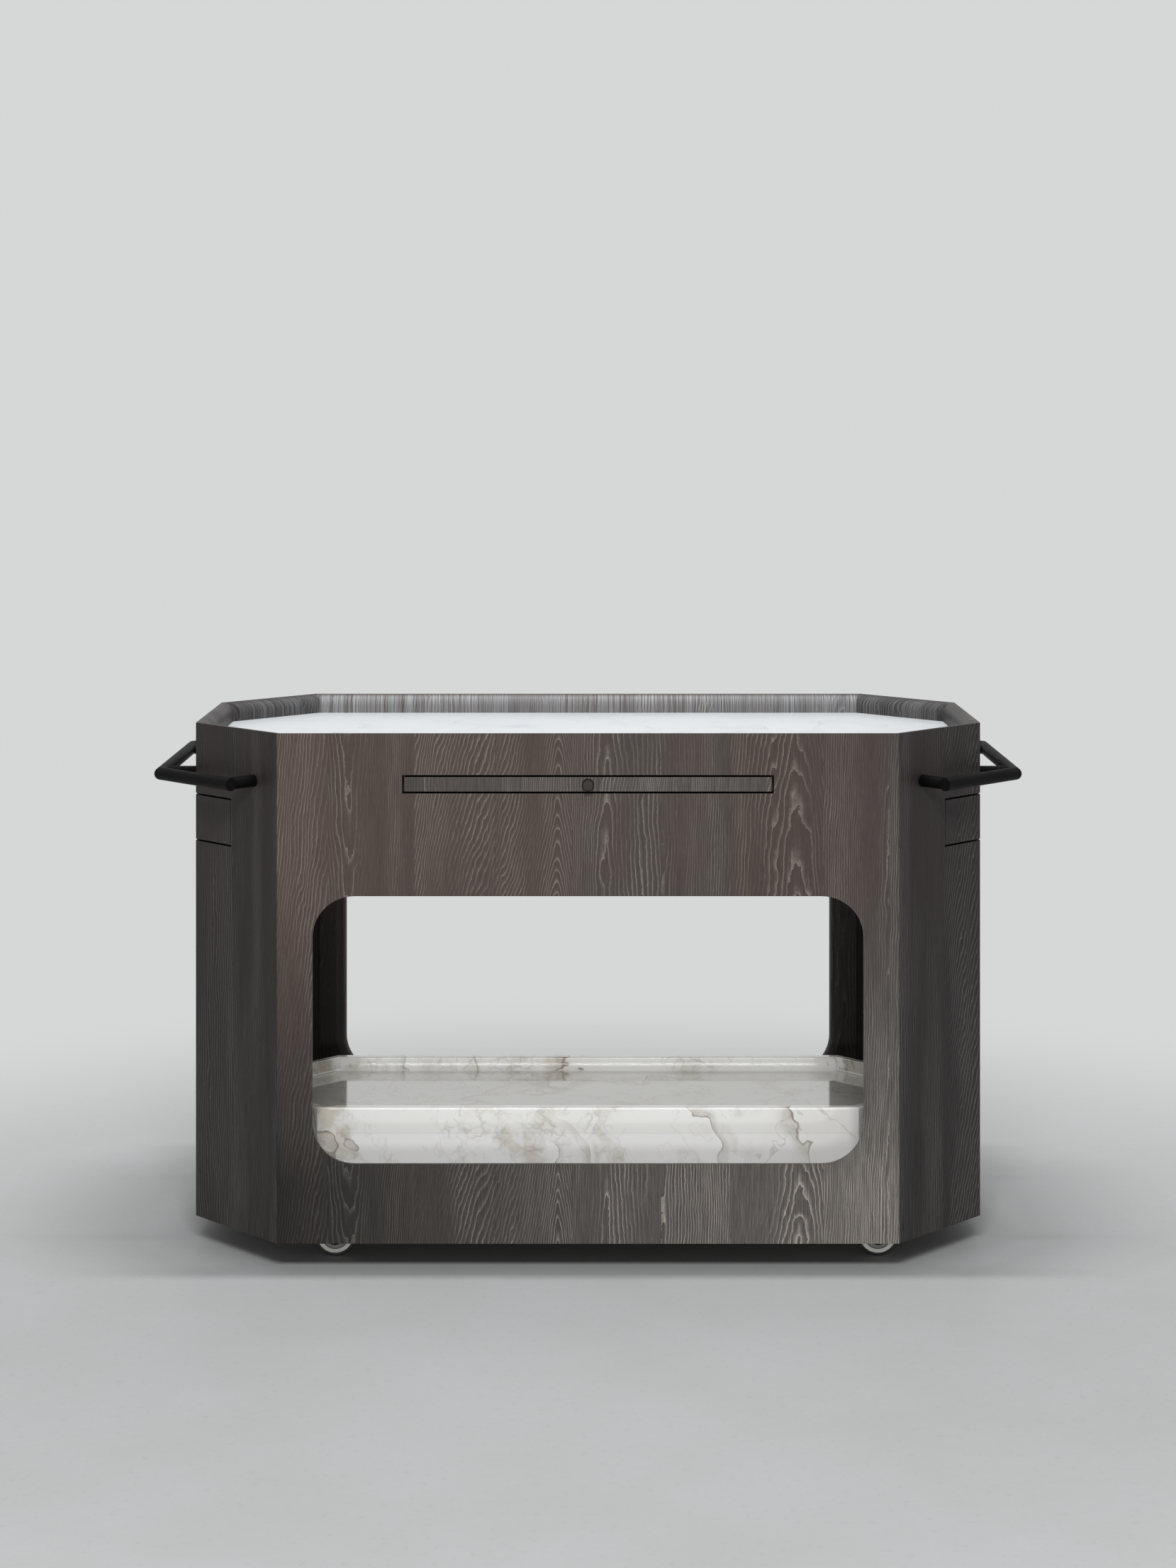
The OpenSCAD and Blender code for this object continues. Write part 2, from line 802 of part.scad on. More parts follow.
module caster_axle(left, rear) {
  color(zinc) at_caster(left, rear) translate([caster_trail, 0, wheel_r]) {
    rotate([90, 0, 0]) cylinder(d = axle_d, h = 2 * fork_out, center = true);
    for (s = [-1, 1])
      translate([0, s * (fork_out + axle_head_t / 2), 0]) rotate([90, 0, 0])
        cylinder(r = axle_head_r, h = axle_head_t, center = true);
  }
}

// Section of the wheel's core: x away from the axle, y along it
module wheel_section() {
  hub_half = fork_in - run_gap;
  ring_half = wheel_w / 2 - 1;
  web_half = ring_half - wheel_web_drop;
  bore_r = axle_d / 2 + pin_fit;
  hub_r = fork_end_r - 2;
  translate([bore_r, -hub_half]) square([hub_r - bore_r, 2 * hub_half]);
  translate([bore_r, -web_half]) square([core_r - bore_r, 2 * web_half]);
  translate([ring_r, -ring_half]) square([wheel_ring_w, 2 * ring_half]);
}

module caster_wheel(left, rear) {
  color(wheel_white) at_caster(left, rear)
    translate([caster_trail, 0, wheel_r]) rotate([90, 0, 0]) rotate_extrude() wheel_section();
}

// Section of the tyre, with rounded shoulders
module tyre_section() {
  in_r = core_r + tyre_fit;
  round_r = 0.45 * (wheel_r - in_r);
  translate([in_r, -wheel_w / 2]) square([wheel_r - round_r - in_r, wheel_w]);
  translate([in_r, round_r - wheel_w / 2]) square([wheel_r - in_r, wheel_w - 2 * round_r]);
  for (s = [-1, 1]) translate([wheel_r - round_r, s * (wheel_w / 2 - round_r)]) circle(r = round_r);
}

module caster_tyre(left, rear) {
  color(rubber) at_caster(left, rear)
    translate([caster_trail, 0, wheel_r]) rotate([90, 0, 0]) rotate_extrude() tyre_section();
}

module pullout_front() {
  front_w = slot_w - 2 * slot_side_gap;
  color(veneer) at_front() difference() {
    translate([-front_w / 2, 0, slot_z0 + slot_edge_gap]) cube([front_w, wall, slot_h - 2 * slot_edge_gap]);
    translate([0, -over, slot_mid_z]) rotate([-90, 0, 0])
      cylinder(d = knob_stud_d + 2 * pin_fit, h = wall + 2 * over);
  }
}

module pullout_board() {
  color(veneer_dark) difference() {
    translate([-board_half, board_y0, board_z0]) cube([2 * board_half, board_depth, board_t]);
    translate([0, board_y0 - over, slot_mid_z]) rotate([-90, 0, 0])
      cylinder(d = knob_stud_d + 2 * pin_fit, h = stud_grip + over);
    at_pegs() translate([0, 0, board_z0 - over]) cylinder(d = peg_d + 2 * pin_fit, h = board_t + 2 * over);
  }
}

// Half section of the knob: x away from its axis, y out from the front
module knob_section() {
  r = knob_d / 2;
  square([knob_neck_d / 2, knob_neck_len + over]);
  translate([0, knob_neck_len]) square([r, knob_reach - knob_neck_len - knob_round]);
  translate([0, knob_neck_len]) square([r - knob_round, knob_reach - knob_neck_len]);
  translate([r - knob_round, knob_reach - knob_round]) circle(r = knob_round);
}

module pullout_knob() {
  color(black_steel) at_front() translate([0, 0, slot_mid_z]) rotate([90, 0, 0]) difference() {
    rotate_extrude() knob_section();
    translate([0, 0, -over]) cylinder(d = knob_stud_d + 2 * pin_fit, h = stud_in_knob + over);
  }
}

module pullout_knob_stud() {
  color(zinc) at_front() translate([0, wall + stud_grip - run_gap, slot_mid_z]) rotate([90, 0, 0])
    cylinder(d = knob_stud_d, h = stud_grip + wall + stud_in_knob - 2 * run_gap);
}

module at_pegs() {
  for (s = [-1, 1]) translate([s * peg_spacing / 2, peg_y, 0]) children();
}

module pullout_stop_pegs() {
  color(plywood) at_pegs() translate([0, 0, board_z0 - peg_drop])
    cylinder(d = peg_d, h = board_t + peg_drop);
}

// Plan of a drawer front on the right end: flat in the middle, folded onto both corner panels
function drawer_front_half() =
  let (q = (drawer_wrap - seam_gap) / sqrt(2), y = end_len / 2, n = wall / sqrt(2))
  [[half_w, y], [half_w - q, y + q], [half_w - q - n, y + q - n], [half_w - wall, y - wall * mitre]];

module drawer_front(left) {
  upper = drawer_front_half();
  lower = [for (i = [3:-1:0]) [upper[i][0], -upper[i][1]]];
  color(veneer_dark) flip_x(left) translate([0, 0, cut_z0 + drawer_gap])
    linear_extrude(drawer_cut_h - 2 * drawer_gap) polygon(concat(upper, lower));
}

module drawer_sides(left) {
  color(plywood) flip_x(left) for (y = [-box_half, box_half - drawer_board_t])
    translate([box_x0, y, box_z0]) cube([drawer_box_len, drawer_board_t, drawer_box_h]);
}

module drawer_ends(left) {
  color(plywood) flip_x(left) for (x = [box_x0, box_x1 - drawer_board_t])
    translate([x, drawer_board_t - box_half, box_z0])
      cube([drawer_board_t, 2 * (box_half - drawer_board_t), drawer_box_h]);
}

module drawer_bottom(left) {
  color(plywood) flip_x(left)
    translate([box_x0 + drawer_board_t, drawer_board_t - box_half, box_z0 + bottom_lift])
      cube([drawer_box_len - 2 * drawer_board_t, 2 * (box_half - drawer_board_t), drawer_bottom_t]);
}

module drawer_slides(left) {
  rail_h = slide_h - 2 * slide_t - 2 * run_gap;
  rail_depth = slide_space - slide_t - 1;
  color(zinc) flip_x(left) for (rear = [true, false])
    flip_y(!rear) translate([box_x1 - slide_lead - slide_len, box_half, slide_z])
      mirror([0, 1, 0]) channel(slide_len, rail_depth, rail_h);
}

module drawer_front_left() {
  drawer_front(true);
}

module drawer_sides_left() {
  drawer_sides(true);
}

module drawer_ends_left() {
  drawer_ends(true);
}

module drawer_bottom_left() {
  drawer_bottom(true);
}

module drawer_slides_left() {
  drawer_slides(true);
}

module drawer_front_right() {
  drawer_front(false);
}

module drawer_sides_right() {
  drawer_sides(false);
}

module drawer_ends_right() {
  drawer_ends(false);
}

module drawer_bottom_right() {
  drawer_bottom(false);
}

module drawer_slides_right() {
  drawer_slides(false);
}

front_panel();
rear_panel();
corner_panel_front_left();
corner_panel_front_right();
corner_panel_rear_left();
corner_panel_rear_right();
end_panel_upper_left();
end_panel_upper_right();
end_panel_lower_left();
end_panel_lower_right();
stone_top();
sub_top();
cleats();
bay_floor();
bay_partition_front();
bay_partition_rear();
bay_divider();
pullout_guides();
slide_channels();
base_deck();
tray_slab();
tray_apron();
tray_core();
handle_left();
handle_right();
handle_bolts();
caster_plates();
caster_screws();
pullout_front();
pullout_board();
pullout_knob();
pullout_knob_stud();
pullout_stop_pegs();
drawer_front_left();
drawer_sides_left();
drawer_ends_left();
drawer_bottom_left();
drawer_slides_left();
drawer_front_right();
drawer_sides_right();
drawer_ends_right();
drawer_bottom_right();
drawer_slides_right();
caster_fork(true, false);  // caster_fork_front_left
caster_fork(false, false);  // caster_fork_front_right
caster_fork(true, true);  // caster_fork_rear_left
caster_fork(false, true);  // caster_fork_rear_right
caster_axle(true, false);  // caster_axle_front_left
caster_axle(false, false);  // caster_axle_front_right
caster_axle(true, true);  // caster_axle_rear_left
caster_axle(false, true);  // caster_axle_rear_right
caster_wheel(true, false);  // caster_wheel_front_left
caster_wheel(false, false);  // caster_wheel_front_right
caster_wheel(true, true);  // caster_wheel_rear_left
caster_wheel(false, true);  // caster_wheel_rear_right
caster_tyre(true, false);  // caster_tyre_front_left
caster_tyre(false, false);  // caster_tyre_front_right
caster_tyre(true, true);  // caster_tyre_rear_left
caster_tyre(false, true);  // caster_tyre_rear_right
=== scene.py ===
import math

import bpy
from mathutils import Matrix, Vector


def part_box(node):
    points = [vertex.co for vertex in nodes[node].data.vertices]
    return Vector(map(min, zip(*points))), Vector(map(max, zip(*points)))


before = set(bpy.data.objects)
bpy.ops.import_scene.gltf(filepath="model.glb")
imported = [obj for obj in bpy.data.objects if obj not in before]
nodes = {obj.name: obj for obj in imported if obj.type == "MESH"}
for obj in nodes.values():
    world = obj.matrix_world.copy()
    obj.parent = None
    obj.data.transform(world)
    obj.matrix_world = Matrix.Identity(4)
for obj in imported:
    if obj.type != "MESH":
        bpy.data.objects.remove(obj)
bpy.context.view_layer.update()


# Sizes from the frame, in metres
def top_corner(node):
    """A node's corner towards the right, the rear and the top."""
    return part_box(node)[1]


def centre(node):
    """The middle of a node's box."""
    lowest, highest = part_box(node)
    return (lowest + highest) / 2


def opening(filler, gap, half_width):
    """Lower height, upper height and half width along the faces, of the opening that a node fills."""
    lowest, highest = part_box(filler)
    return lowest.z - gap, highest.z + gap, half_width


HALF_W = top_corner("end_panel_upper_right").x
HALF_D = top_corner("rear_panel").y
CHAMFER = HALF_W - top_corner("rear_panel").x
SHELL_TOP = top_corner("rear_panel").z
STONE_TOP = top_corner("stone_top").z
# The flat part of an end reaches this far from its middle, and the corner panels go on from there
END_HALF = HALF_D - CHAMFER
# From the middle of the cart straight out to the face of a corner panel
CORNER_DIST = (HALF_W + HALF_D - CHAMFER) / math.sqrt(2)

SLOT_GAP = 0.00225
SLOT_SIDE_GAP = 0.0032
SLOT = opening("pullout_front", SLOT_GAP, top_corner("pullout_front").x + SLOT_SIDE_GAP)
DRAWER_GAP = 0.0025
DRAWER_ROUND_CORNER = (top_corner("drawer_front_right").y - END_HALF) * math.sqrt(2)
DRAWER = opening("drawer_front_right", DRAWER_GAP, END_HALF + DRAWER_ROUND_CORNER + DRAWER_GAP)

TRAY_RIM = 0.0325
TRAY_FLOOR_HALF = top_corner("tray_slab").y - TRAY_RIM
KNOB_HEIGHT = centre("pullout_front").z
KNOB_FACE_RADIUS = 0.0072
LEFT_WHEEL = centre("caster_wheel_front_left")
RIGHT_WHEEL = centre("caster_wheel_front_right")
AXLE_HEIGHT = LEFT_WHEEL.z
WHEEL_RING_RADIUS = 0.0215

# Where one colour meets another, it changes over this length
CRISP = 0.0006


def rgb(r, g, b):
    """A display colour, 0 to 255 a channel, as a linear colour."""
    def linear(v):
        v /= 255
        return v / 12.92 if v <= 0.04045 else ((v + 0.055) / 1.055) ** 2.4
    return (linear(r), linear(g), linear(b), 1.0)


WHITE = (1.0, 1.0, 1.0, 1.0)


class Shader:
    """A material, with short calls that add its nodes."""

    def __init__(self, name):
        self.material = bpy.data.materials.new(name)
        self.material.use_nodes = True
        self.tree = self.material.node_tree
        self.tree.nodes.clear()
        self.place = self.add("ShaderNodeTexCoord").outputs["Object"]

    def add(self, kind, ins=None, **props):
        """Adds a node. ins gives its inputs, each as a value or as another node's output."""
        node = self.tree.nodes.new(kind)
        for key, value in props.items():
            setattr(node, key, value)
        for key, value in (ins or {}).items():
            if isinstance(value, bpy.types.NodeSocket):
                self.tree.links.new(value, node.inputs[key])
            else:
                node.inputs[key].default_value = value
        return node

    # Numbers
    def calc(self, op, a, b=0.0, c=0.0):
        return self.add("ShaderNodeMath", {0: a, 1: b, 2: c}, operation=op).outputs[0]

    def plus(self, a, b):
        return self.calc("ADD", a, b)

    def minus(self, a, b):
        return self.calc("SUBTRACT", a, b)

    def times(self, a, b):
        return self.calc("MULTIPLY", a, b)

    def power(self, a, exponent):
        return self.calc("POWER", a, exponent)

    def size(self, a):
        """A number without its sign."""
        return self.calc("ABSOLUTE", a)

    def sign(self, a):
        return self.calc("SIGN", a)

    def larger(self, a, b):
        return self.calc("MAXIMUM", a, b)

    def smaller(self, a, b):
        return self.calc("MINIMUM", a, b)

    def above(self, a, limit):
        """1 where a number is above the limit, and 0 elsewhere."""
        return self.calc("GREATER_THAN", a, limit)

    def below(self, a, limit):
        """1 where a number is below the limit, and 0 elsewhere."""
        return self.calc("LESS_THAN", a, limit)

    def ramp(self, a, rise, start):
        """A straight line: start where a number is 0, and start + rise where it is 1."""
        return self.calc("MULTIPLY_ADD", a, rise, start)

    def wave(self, a, rate, start):
        return self.calc("SINE", self.ramp(a, rate, start))

    def fit(self, value, low=0.3, high=0.7, a=0.0, b=1.0):
        """A smooth step from a, up to the value low, to b, from the value high on. Noise seldom leaves
        the range that low and high have when they aren't given."""
        ins = {0: value, 1: low, 2: high, 3: a, 4: b}
        return self.add("ShaderNodeMapRange", ins, interpolation_type="SMOOTHSTEP").outputs[0]

    def random(self, value):
        """Three random numbers from 0 to 1 that belong to a value."""
        node = self.add("ShaderNodeTexWhiteNoise", {"W": value}, noise_dimensions="1D")
        return self.add("ShaderNodeSeparateColor", {0: node.outputs["Color"]}).outputs[:3]

    # Vectors
    def vector(self, x, y, z):
        return self.add("ShaderNodeCombineXYZ", {0: x, 1: y, 2: z}).outputs[0]

    def split(self, vector):
        return self.add("ShaderNodeSeparateXYZ", {0: vector}).outputs

    def vector_calc(self, op, a, b):
        return self.add("ShaderNodeVectorMath", {0: a, 1: b}, operation=op).outputs[0]

    def shift(self, vector, offset):
        return self.vector_calc("ADD", vector, offset)

    def scaled(self, vector, factor):
        ins = {0: vector, "Scale": factor}
        return self.add("ShaderNodeVectorMath", ins, operation="SCALE").outputs[0]

    def length(self, vector):
        return self.add("ShaderNodeVectorMath", {0: vector}, operation="LENGTH").outputs["Value"]

    def radius(self, across, up):
        """Distance from an axis along y."""
        return self.length(self.vector(across, 0.0, up))

    def mapped(self, vector, turn=(0, 0, 0), scale=(1, 1, 1)):
        ins = {0: vector, "Rotation": [math.radians(v) for v in turn], "Scale": scale}
        return self.add("ShaderNodeMapping", ins).outputs[0]

    # Patterns and colours
    def noise(self, vector, scale, detail=2.0, rough=0.5, output="Fac"):
        """Noise with as many cells a metre as scale says."""
        ins = {"Vector": vector, "Scale": scale, "Detail": detail, "Roughness": rough}
        return self.add("ShaderNodeTexNoise", ins).outputs[output]

    def drift(self, vector, scale, rough):
        """A vector that wanders about zero."""
        wander = self.noise(vector, scale, 2.0, rough, "Color")
        return self.vector_calc("SUBTRACT", wander, (0.5, 0.5, 0.5))

    def mix(self, factor, a, b):
        """Colour a where the factor is 0, and b where it is 1."""
        return self.add("ShaderNodeMix", {0: factor, 6: a, 7: b}, data_type="RGBA").outputs[2]

    def surface(self, colour, roughness, height, depth, strength, edge, **constants):
        """Ends the material in a Principled surface. Bump follows the height, which spans the depth in
        metres, and edge is the radius that softens each arris."""
        ins = {"Base Color": colour, "Roughness": roughness}
        for key, value in constants.items():
            ins[key.replace("_", " ")] = value
        soft = self.add("ShaderNodeBevel", {"Radius": edge}, samples=3).outputs[0]
        bump = {"Height": height, "Distance": depth, "Strength": strength, "Normal": soft}
        ins["Normal"] = self.add("ShaderNodeBump", bump).outputs[0]
        shader = self.add("ShaderNodeBsdfPrincipled", ins)
        self.add("ShaderNodeOutputMaterial", {0: shader.outputs[0]})
        return self.material


# Veneer: its colours, with the ground from brown to grey
FRONT_GROUNDS = (rgb(75, 60, 55), rgb(63, 58, 56))
WRAP_GROUNDS = (rgb(74, 61, 60), rgb(61, 55, 57))
ASHEN_GROUND = rgb(61, 59, 57)
LIME = rgb(149, 143, 135)
# Painted sheen: a pale reflection painted on the inner face of the rim
PAINTED_SHEEN_COLOUR = rgb(178, 182, 186)
# Painted shade on the faces inside the shell
PAINTED_INNER_SHADE = rgb(14, 12, 11)
# Painted shade in the gaps round what fills an opening, and on their cut edges
PAINTED_GAP_SHADE = rgb(8, 8, 8)

STRIP = 0.119
# The strips' width sways by this much, at this rate along the face
STRIP_SWAY = 0.011
SWAY_RATE = 29.0
# The middle of a face is this many strips along, and the seed adds some. The right end counts further on.
MIDDLE_STRIP = 10.46
SEED_STRIPS = 1.71
RIGHT_END_SKIP = 17.0
# A strip draws its random numbers at its own number plus some from the seed, and again further on
SEED_DRAWS = 3.7
SECOND_DRAW = 61.3
# The strips are cut from a log of this length
LOG_LENGTH = 3.0
# A seam darkens between these distances from a strip's middle, in strip widths, to this tone
SEAM = (0.4965, 0.499)
SEAM_TONE = 0.8

# The log's heart lies somewhere in this span from a strip's left edge, in strip widths
HEART_START = -0.8
HEART_SPAN = 2.6
# Rings a metre across the grain and along it, at the least and added at random
RINGS = 170.0
MORE_RINGS = 120.0
SLOPE = 4.0
MORE_SLOPE = 46.0
# The rings rise along the grain where the heart's random number is above this, and fall elsewhere
RISING = 0.45
# The square of the least distance from the heart, in metres, which rounds the arches
ARCH_SQUARED = 0.00008

# The lower part gives way to the upper between these heights, and the foot ends between those below
LOWER_PART = (0.15, 0.62)
FOOT = (0.12, 0.22)
# How much the stain's lightness swings within a strip
FRONT_SWING = 0.08
WRAP_SWING = 0.24
# How far the ashen ground shows, but not on the ends and corners, whose lime is so many times as strong
FRONT_ASH = 0.7
WRAP_LIME = 2.6

# Depths below the outer faces: the inner faces of the panels, which get painted shade, the rim's inner
# face, which gets a painted sheen, and the skin of an end
INNER_DEPTH = (0.012, 0.019)
RIM_DEPTH = (0.004, 0.016)
END_SKIN = (0.004, 0.012)
# The inner faces count as the rim above this height, and the rim's painted sheen grows from low to high
RIM_START = 0.7
GLINTS_LOW = STONE_TOP + 0.0022
GLINTS_HIGH = SHELL_TOP - 0.0028
# The flat face of an end is this many times as light as the corners beside it, so it keeps less of the
# wrap's painted shade
END_TONE = 1.6

# The edges of an opening get black painted shade from this depth, out to this far from the opening
CUT_DEPTH = 0.0007
CUT_REACH = 0.001
# The black painted shadow line of a shadow gap lies from so far inside the opening's edge to so far
# outside
LINE_INSIDE = 0.0027
LINE_OUTSIDE = 0.0004


class Veneer(Shader):
    """Limed dark ash in strips, with the grain upright. With wrap the strips run round an end and its
    two corners. With lay_flat the grain runs from the front to the rear of a level board."""

    def __init__(self, name, seed, wrap, lay_flat):
        super().__init__(name)
        self.seed = seed
        self.wrap = wrap
        x, y, z = self.split(self.place)
        # Place across the grain, depth below the outer faces, and place along the grain
        if lay_flat:
            self.across, self.inset, self.up = x, z, y
        else:
            self.across, self.inset, self.up = x, self.depth_below_faces(x, y), z
        skip = 0.0
        if wrap:
            self.go_round_end(y)
            skip = self.times(self.above(x, 0.0), RIGHT_END_SKIP)
        self.lay_strips(skip)
        self.grow_rings()
        self.lower = self.fit(self.up, *LOWER_PART, 1.0, 0.0)

    def depth_below_faces(self, x, y):
        """How far a place lies inside the nearest outer face of the shell."""
        far_x = self.size(x)
        far_y = self.size(y)
        slant = self.times(self.plus(far_x, far_y), math.sqrt(0.5))
        inset = self.smaller(self.minus(HALF_W, far_x), self.minus(HALF_D, far_y))
        return self.smaller(inset, self.minus(CORNER_DIST, slant))

    def go_round_end(self, y):
        """Measures across the grain from the middle of an end, along it and round its corners."""
        far_y = self.size(y)
        past_end = self.larger(self.minus(far_y, END_HALF), 0.0)
        path = self.ramp(past_end, math.sqrt(2) - 1, far_y)
        self.across = self.times(path, self.sign(y))
        self.on_end = self.fit(past_end, 0.0, CRISP, 1.0, 0.0)

    def lay_strips(self, skip):
        """Divides the face into strips of uneven width, each with six random numbers from 0 to 1."""
        sway = self.times(self.wave(self.across, SWAY_RATE, self.seed), STRIP_SWAY)
        self.swayed = self.plus(self.across, sway)
        steps = self.ramp(self.swayed, 1 / STRIP, MIDDLE_STRIP + self.seed * SEED_STRIPS)
        number = self.calc("FLOOR", steps)
        self.inside = self.minus(steps, number)
        number = self.plus(number, skip)
        draw = self.seed * SEED_DRAWS
        self.heart, self.jump, self.tilt = self.random(self.plus(number, draw))
        self.cooler, self.lighter, self.tighter = self.random(self.plus(number, draw + SECOND_DRAW))
        self.along = self.ramp(self.jump, LOG_LENGTH, self.up)

    def streaks(self, across, fine, long, detail=2.0, rough=0.5):
        """Noise with as many cells a metre across the grain as fine says, and along it as long says."""
        depth = self.times(self.inset, fine)
        cells = self.vector(self.times(across, fine), depth, self.times(self.along, long))
        return self.noise(cells, 1.0, detail, rough)

    def grow_rings(self):
        """Cuts the strips through growth rings, which show as arches about each strip's heart."""
        heart = self.ramp(self.heart, HEART_SPAN, HEART_START)
        aside = self.times(self.minus(self.inside, heart), STRIP)
        spread = self.calc("SQRT", self.calc("MULTIPLY_ADD", aside, aside, ARCH_SQUARED))
        slope = self.ramp(self.power(self.tilt, 3.0), MORE_SLOPE, SLOPE)
        slope = self.times(slope, self.sign(self.minus(self.heart, RISING)))
        bend = self.streaks(self.swayed, fine=6.0, long=2.3, detail=3.0, rough=0.6)
        wobble = self.streaks(self.across, fine=30.0, long=16.0)
        bunch = self.streaks(self.across, fine=58.0, long=2.2)
        crinkle = self.streaks(self.across, fine=60.0, long=48.0, detail=1.0)
        tooth = self.streaks(self.across, fine=240.0, long=170.0, detail=1.0)
        rings = self.times(spread, self.ramp(self.tighter, MORE_RINGS, RINGS))
        # By how many rings each of them shifts the figure
        shifts = (
            (self.along, slope),
            (bend, 8.0),
            (wobble, 1.6),
            (bunch, 1.8),
            (crinkle, 0.45),
            (tooth, 0.3),
        )
        for shift, amount in shifts:
            rings = self.plus(rings, self.times(shift, amount))
        self.ridge = self.power(self.minus(1.0, self.calc("FRACT", rings)), 6.0)
        fibre = self.streaks(self.across, fine=640.0, long=16.0, rough=0.6)
        pore = self.streaks(self.across, fine=1300.0, long=55.0, detail=1.0)
        self.fibre = self.fit(fibre, 0.35, 0.65)
        self.pore = self.fit(pore, 0.56, 0.66)

    def stained(self, cool):
        """The stained wood with its lime: browner high up and to the left, greyer low down and to the
        right. Gives the colour, and how much lime lies in the grain."""
        turn = self.plus(self.ramp(self.across, 0.5, cool), self.times(self.lower, 0.45))
        clear = self.fit(turn, 0.0, 0.75, 0.72, 0.95)
        ashen = self.fit(turn, 0.3, 0.85)
        # Stretches of a strip with a clear figure, set aside from the patches of the stain
        figured = self.streaks(self.plus(self.swayed, 0.37), fine=17.0, long=1.9)
        limed = self.times(self.ridge, self.ramp(self.fibre, 0.35, 0.75))
        limed = self.times(limed, self.fit(figured, 0.36, 0.62, 0.12, 1.15))
        limed = self.times(limed, self.times(clear, WRAP_LIME if self.wrap else 1.0))
        limed = self.plus(limed, self.times(self.pore, 0.08))
        limed = self.plus(limed, self.times(self.fibre, self.ramp(ashen, 0.11, 0.07)))
        turn = self.plus(turn, self.times(self.cooler, 0.4))
        grounds = WRAP_GROUNDS if self.wrap else FRONT_GROUNDS
        ground = self.mix(self.fit(turn, 0.1, 0.8), *grounds)
        ground = self.mix(self.times(ashen, 0.0 if self.wrap else FRONT_ASH), ground, ASHEN_GROUND)
        return self.mix(limed, ground, LIME), limed

    def shade(self, drift):
        """How light the veneer is, from strip to strip and within a strip."""
        swing = WRAP_SWING if self.wrap else FRONT_SWING
        patch = self.streaks(self.swayed, fine=15.0, long=1.6)
        patch = self.fit(patch, 0.25, 0.75, 1.0 - swing, 1.0 + swing)
        shade = self.times(self.ramp(self.lighter, 0.18, 0.97), patch)
        if drift:
            shade = self.times(shade, self.drifting_light())
        if self.wrap:
            # The outer face of an end is lighter, keeping less of the wrap's painted shade
            outside = self.fit(self.inset, *END_SKIN, END_TONE - 1.0, 0.0)
            shade = self.times(shade, self.plus(self.times(self.on_end, outside), 1.0))
        seam = self.fit(self.size(self.minus(self.inside, 0.5)), *SEAM, 1.0, SEAM_TONE)
        return self.times(shade, seam)

    def drifting_light(self):
        """Makes the veneer lighter towards the lower right."""
        lean = self.times(self.across, self.ramp(self.across, -0.6, 1.05))
        light = self.ramp(lean, self.lower, 1.0)
        foot = self.times(self.fit(self.up, *FOOT, 1.0, 0.0), self.ramp(self.across, 0.8, 0.15))
        head = self.times(self.minus(1.0, self.lower), self.ramp(self.across, -0.12, -0.055))
        return self.plus(self.plus(light, foot), head)

    def with_painted_inner_shade(self, colour):
        """Paints shade on the faces inside the shell, below the rim."""
        within = self.times(self.fit(self.inset, *INNER_DEPTH), self.below(self.up, RIM_START))
        return self.mix(self.times(within, 0.55), colour, PAINTED_INNER_SHADE)

    def with_painted_sheen(self, colour, painted_sheen):
        """Paints a pale sheen, glints along the grain, on the inner face of the rim, lighter towards its
        top.
        """
        fine = self.vector(self.times(self.across, 640.0), self.seed, self.times(self.along, 6.0))
        broad = self.vector(self.times(self.across, 34.0), self.seed, self.times(self.along, 5.0))
        glint = self.fit(self.noise(fine, 1.0, 2.0, 0.6), 0.36, 0.64)
        glint = self.times(glint, self.fit(self.noise(broad, 1.0), 0.38, 0.6, 0.6, 1.0))
        glint = self.plus(glint, self.times(self.ridge, 0.35))
        rim = self.times(self.fit(self.inset, *RIM_DEPTH), self.above(self.up, RIM_START))
        rim = self.times(rim, self.fit(self.up, GLINTS_LOW, GLINTS_HIGH, 0.72, 1.0))
        rim = self.times(rim, self.ramp(glint, painted_sheen * 1.6, painted_sheen * 0.2))
        if self.wrap:
            rim = self.times(rim, self.ramp(self.on_end, -0.7, 1.0))
        return self.mix(rim, colour, PAINTED_SHEEN_COLOUR)

    def with_painted_gap_shade(self, colour, cut):
        """Paints black shade on the edges of an opening, and a thin painted shadow line round what fills
        it.
        """
        lower, upper, half = cut
        off_middle = self.size(self.minus(self.up, (lower + upper) / 2))
        past_edge = self.minus(off_middle, (upper - lower) / 2)
        past_side = self.minus(self.size(self.across), half)
        past = self.larger(past_edge, past_side)
        deep = self.times(self.above(self.inset, CUT_DEPTH), self.below(past, CUT_REACH))
        # On an end only the long edges get the painted shadow line, on the front all four
        run = past_edge if self.wrap else past
        line = self.times(self.above(run, -LINE_INSIDE), self.below(run, LINE_OUTSIDE))
        line = self.times(line, self.below(past_side, LINE_OUTSIDE))
        return self.mix(self.larger(deep, line), colour, PAINTED_GAP_SHADE)


